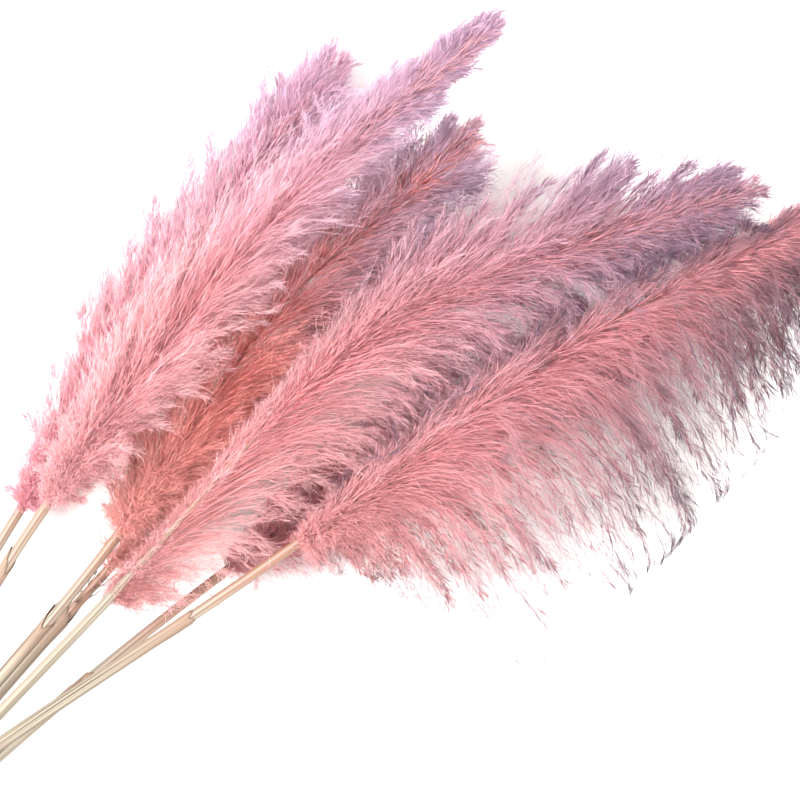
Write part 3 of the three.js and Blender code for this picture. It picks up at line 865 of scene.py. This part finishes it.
def make_plume(stalk, settings, material):
    """The branches and hairs of one plume: needles for the hairs of two knots, spindles and wavy
    strands for the others. They are shared out over two pieces, so that neither grows too large."""
    shape = PLUMES[stalk.number]
    rng = np.random.default_rng(settings.seed * 1000 + stalk.number)
    count = int(settings.branches * shape["thick"])
    branches = Branches(stalk, shape, count, rng)
    places = {"all": np.arange(count), "deep": np.flatnonzero(branches.deep),
              "young": np.flatnonzero(branches.young)}
    halves = ([], [])
    for name, kind in HAIR_KINDS.items():
        path, uv = grow_hairs(branches, places[kind["on"]], int(count * getattr(settings, name)),
                              kind["length"] * settings.hair_length, kind, rng)
        wide = kind["radius"] * settings.hair_radius * rng.uniform(0.7, 1.2, len(path))
        phase = rng.uniform(0, TURN, len(path))
        taper = np.sin(math.pi * np.linspace(0, 1, kind["knots"]) ** 0.6)
        for half, group in zip(halves, np.array_split(np.arange(len(path)), 2)):
            if kind["knots"] == 2:
                half.append(needles(path[group, 0], path[group, 1], wide[group], uv[group],
                                    phase[group]))
            else:
                half.append(strands(path[group], wide[group, None] * taper, uv[group], phase[group]))
    stem_uv = np.stack([np.clip(branches.share, 0, 1), 0.10 + 0.5 * branches.out], axis=-1)
    thick = BRANCH_RADIUS * np.linspace(1.0, 0.2, BRANCH_KNOTS)[None, :] * np.ones((count, 1))
    phase = rng.uniform(0, TURN, count)
    for half, group in zip(halves, np.array_split(np.arange(count), 2)):
        half.append(strands(branches.path[group], thick[group], stem_uv[group], phase[group]))
    for letter, half in zip("ab", halves):
        piece(f"plume_{letter}_{stalk.number}", *joined(half), material, "plume",
              f"plume_{stalk.number}")


# ---- Operators ----
class PAMPAS_OT_canes(bpy.types.Operator):
    """Makes the seven canes with their joint rings and cut ends"""

    bl_idname = "pampas.canes"
    bl_label = "Grow canes"

    def execute(self, context):
        settings = context.scene.pampas_cane
        material = dry_cane("dried_straw_cane", settings)
        for stalk in STALKS.values():
            make_cane(stalk, settings, material)
        return {"FINISHED"}


class PAMPAS_OT_sheaths(bpy.types.Operator):
    """Rolls the papery leaf sheaths round the canes, and curls the shredded one"""

    bl_idname = "pampas.sheaths"
    bl_label = "Roll leaf sheaths"

    def execute(self, context):
        settings = context.scene.pampas_sheath
        material = papery_leaf("papery_leaf_sheath", settings)
        for stalk in STALKS.values():
            make_sheath(stalk, settings, context.scene.pampas_cane, material)
        make_frill(STALKS[FRILL_STALK], material)
        return {"FINISHED"}


class PAMPAS_OT_plumes(bpy.types.Operator):
    """Grows the branches and the silky hairs of the plumes"""

    bl_idname = "pampas.plumes"
    bl_label = "Grow plumes"

    def execute(self, context):
        settings = context.scene.pampas_plume
        materials = {name: dyed_hair(f"silky_hair_{name}", dye, getattr(settings, name))
                     for name, dye in DYES.items()}
        for stalk in STALKS.values():
            make_plume(stalk, settings, materials[PLUMES[stalk.number]["dye"]])
        return {"FINISHED"}


# The camera looks straight down, turned so that the bunch runs up to the right.
VIEW_TURN = math.radians(-46.0)
AIM = (0.679, 0.470)  # where the view's middle is, as shares of the object's box
HEAP_HEIGHT = 90 * MM  # the height at which the view is as wide as its setting says
FLOOR_HALF = 30.0  # half the floor's side, in metres
LAMPS = {  # place from the aim and width, in metres, and power in watts
    "soft_window": ((-1.0, 1.7, 2.3), 1.6, 245.0),
    "soft_fill": ((1.6, -1.4, 1.8), 2.0, 70.0),
}


def lay_floor(material):
    """One square of floor, level with the lowest point of the object's box."""
    mesh = bpy.data.meshes.new("studio_floor")
    mesh.from_pydata([(-FLOOR_HALF, -FLOOR_HALF, 0), (FLOOR_HALF, -FLOOR_HALF, 0),
                      (FLOOR_HALF, FLOOR_HALF, 0), (-FLOOR_HALF, FLOOR_HALF, 0)], [], [(0, 1, 2, 3)])
    mesh.materials.append(material)
    floor = bpy.data.objects.new("studio_floor", mesh)
    bpy.context.scene.collection.objects.link(floor)


def hang_lamp(name, aim, offset, size, power):
    """A soft round lamp whose beam, along its own -Z, goes to the aim."""
    lamp = bpy.data.lights.new(name, "AREA")
    lamp.shape = "DISK"
    lamp.size = size
    lamp.energy = power
    light = bpy.data.objects.new(name, lamp)
    light.location = aim + Vector(offset)
    light.rotation_euler = Vector(offset).to_track_quat("Z", "Y").to_euler()
    bpy.context.scene.collection.objects.link(light)


class PAMPAS_OT_stage(bpy.types.Operator):
    """Sets up the pale floor, the soft lights and the camera above the bunch"""

    bl_idname = "pampas.stage"
    bl_label = "Set up studio"

    def execute(self, context):
        settings = context.scene.pampas_studio
        scene = context.scene
        scene.view_settings.view_transform = "Standard"
        lay_floor(painted_floor("matt_paint_floor", settings))

        world = bpy.data.worlds.new("studio_air")
        world.use_nodes = True
        air = world.node_tree.nodes["Background"]
        air.inputs["Color"].default_value = settings.air
        air.inputs["Strength"].default_value = settings.air_light
        scene.world = world
        low, high = CAD_BOX
        aim = Vector((low[0] + AIM[0] * (high[0] - low[0]), low[1] + AIM[1] * (high[1] - low[1]), 0.0))
        for name, (offset, size, power) in LAMPS.items():
            hang_lamp(name, aim, offset, size, power)

        camera = bpy.data.cameras.new("camera_above")
        camera.lens = settings.lens
        camera.clip_end = 100.0
        view = bpy.data.objects.new("camera_above", camera)
        distance = settings.window * settings.lens / camera.sensor_width
        view.location = (aim[0], aim[1], HEAP_HEIGHT + distance)
        view.rotation_euler = (0.0, 0.0, VIEW_TURN)
        scene.collection.objects.link(view)
        scene.camera = view
        return {"FINISHED"}


class PAMPAS_PT_panel(bpy.types.Panel):
    """Lists the steps that grow the bunch"""

    bl_idname = "PAMPAS_PT_panel"
    bl_label = "Pampas grass bunch"
    bl_space_type = "VIEW_3D"
    bl_region_type = "UI"
    bl_category = "Pampas"

    def draw(self, context):
        for step in STEPS:
            self.layout.operator(step.bl_idname)


SETTINGS = {
    "pampas_cane": CaneSettings,
    "pampas_sheath": SheathSettings,
    "pampas_plume": PlumeSettings,
    "pampas_studio": StudioSettings,
}
STEPS = (PAMPAS_OT_canes, PAMPAS_OT_sheaths, PAMPAS_OT_plumes, PAMPAS_OT_stage)


def register():
    """Registers the classes and hangs their settings on the scene."""
    for group in (*SETTINGS.values(), *STEPS, PAMPAS_PT_panel):
        bpy.utils.register_class(group)
    for name, group in SETTINGS.items():
        setattr(bpy.types.Scene, name, bpy.props.PointerProperty(type=group))


def unregister():
    """Takes the settings off the scene and the classes out."""
    for name in SETTINGS:
        delattr(bpy.types.Scene, name)
    for group in (PAMPAS_PT_panel, *STEPS, *SETTINGS.values()):
        bpy.utils.unregister_class(group)


def main():
    """Makes the studio and the bunch."""
    register()
    bpy.ops.pampas.stage()
    bpy.ops.pampas.canes()
    bpy.ops.pampas.sheaths()
    bpy.ops.pampas.plumes()


if __name__ == "__main__":
    main()
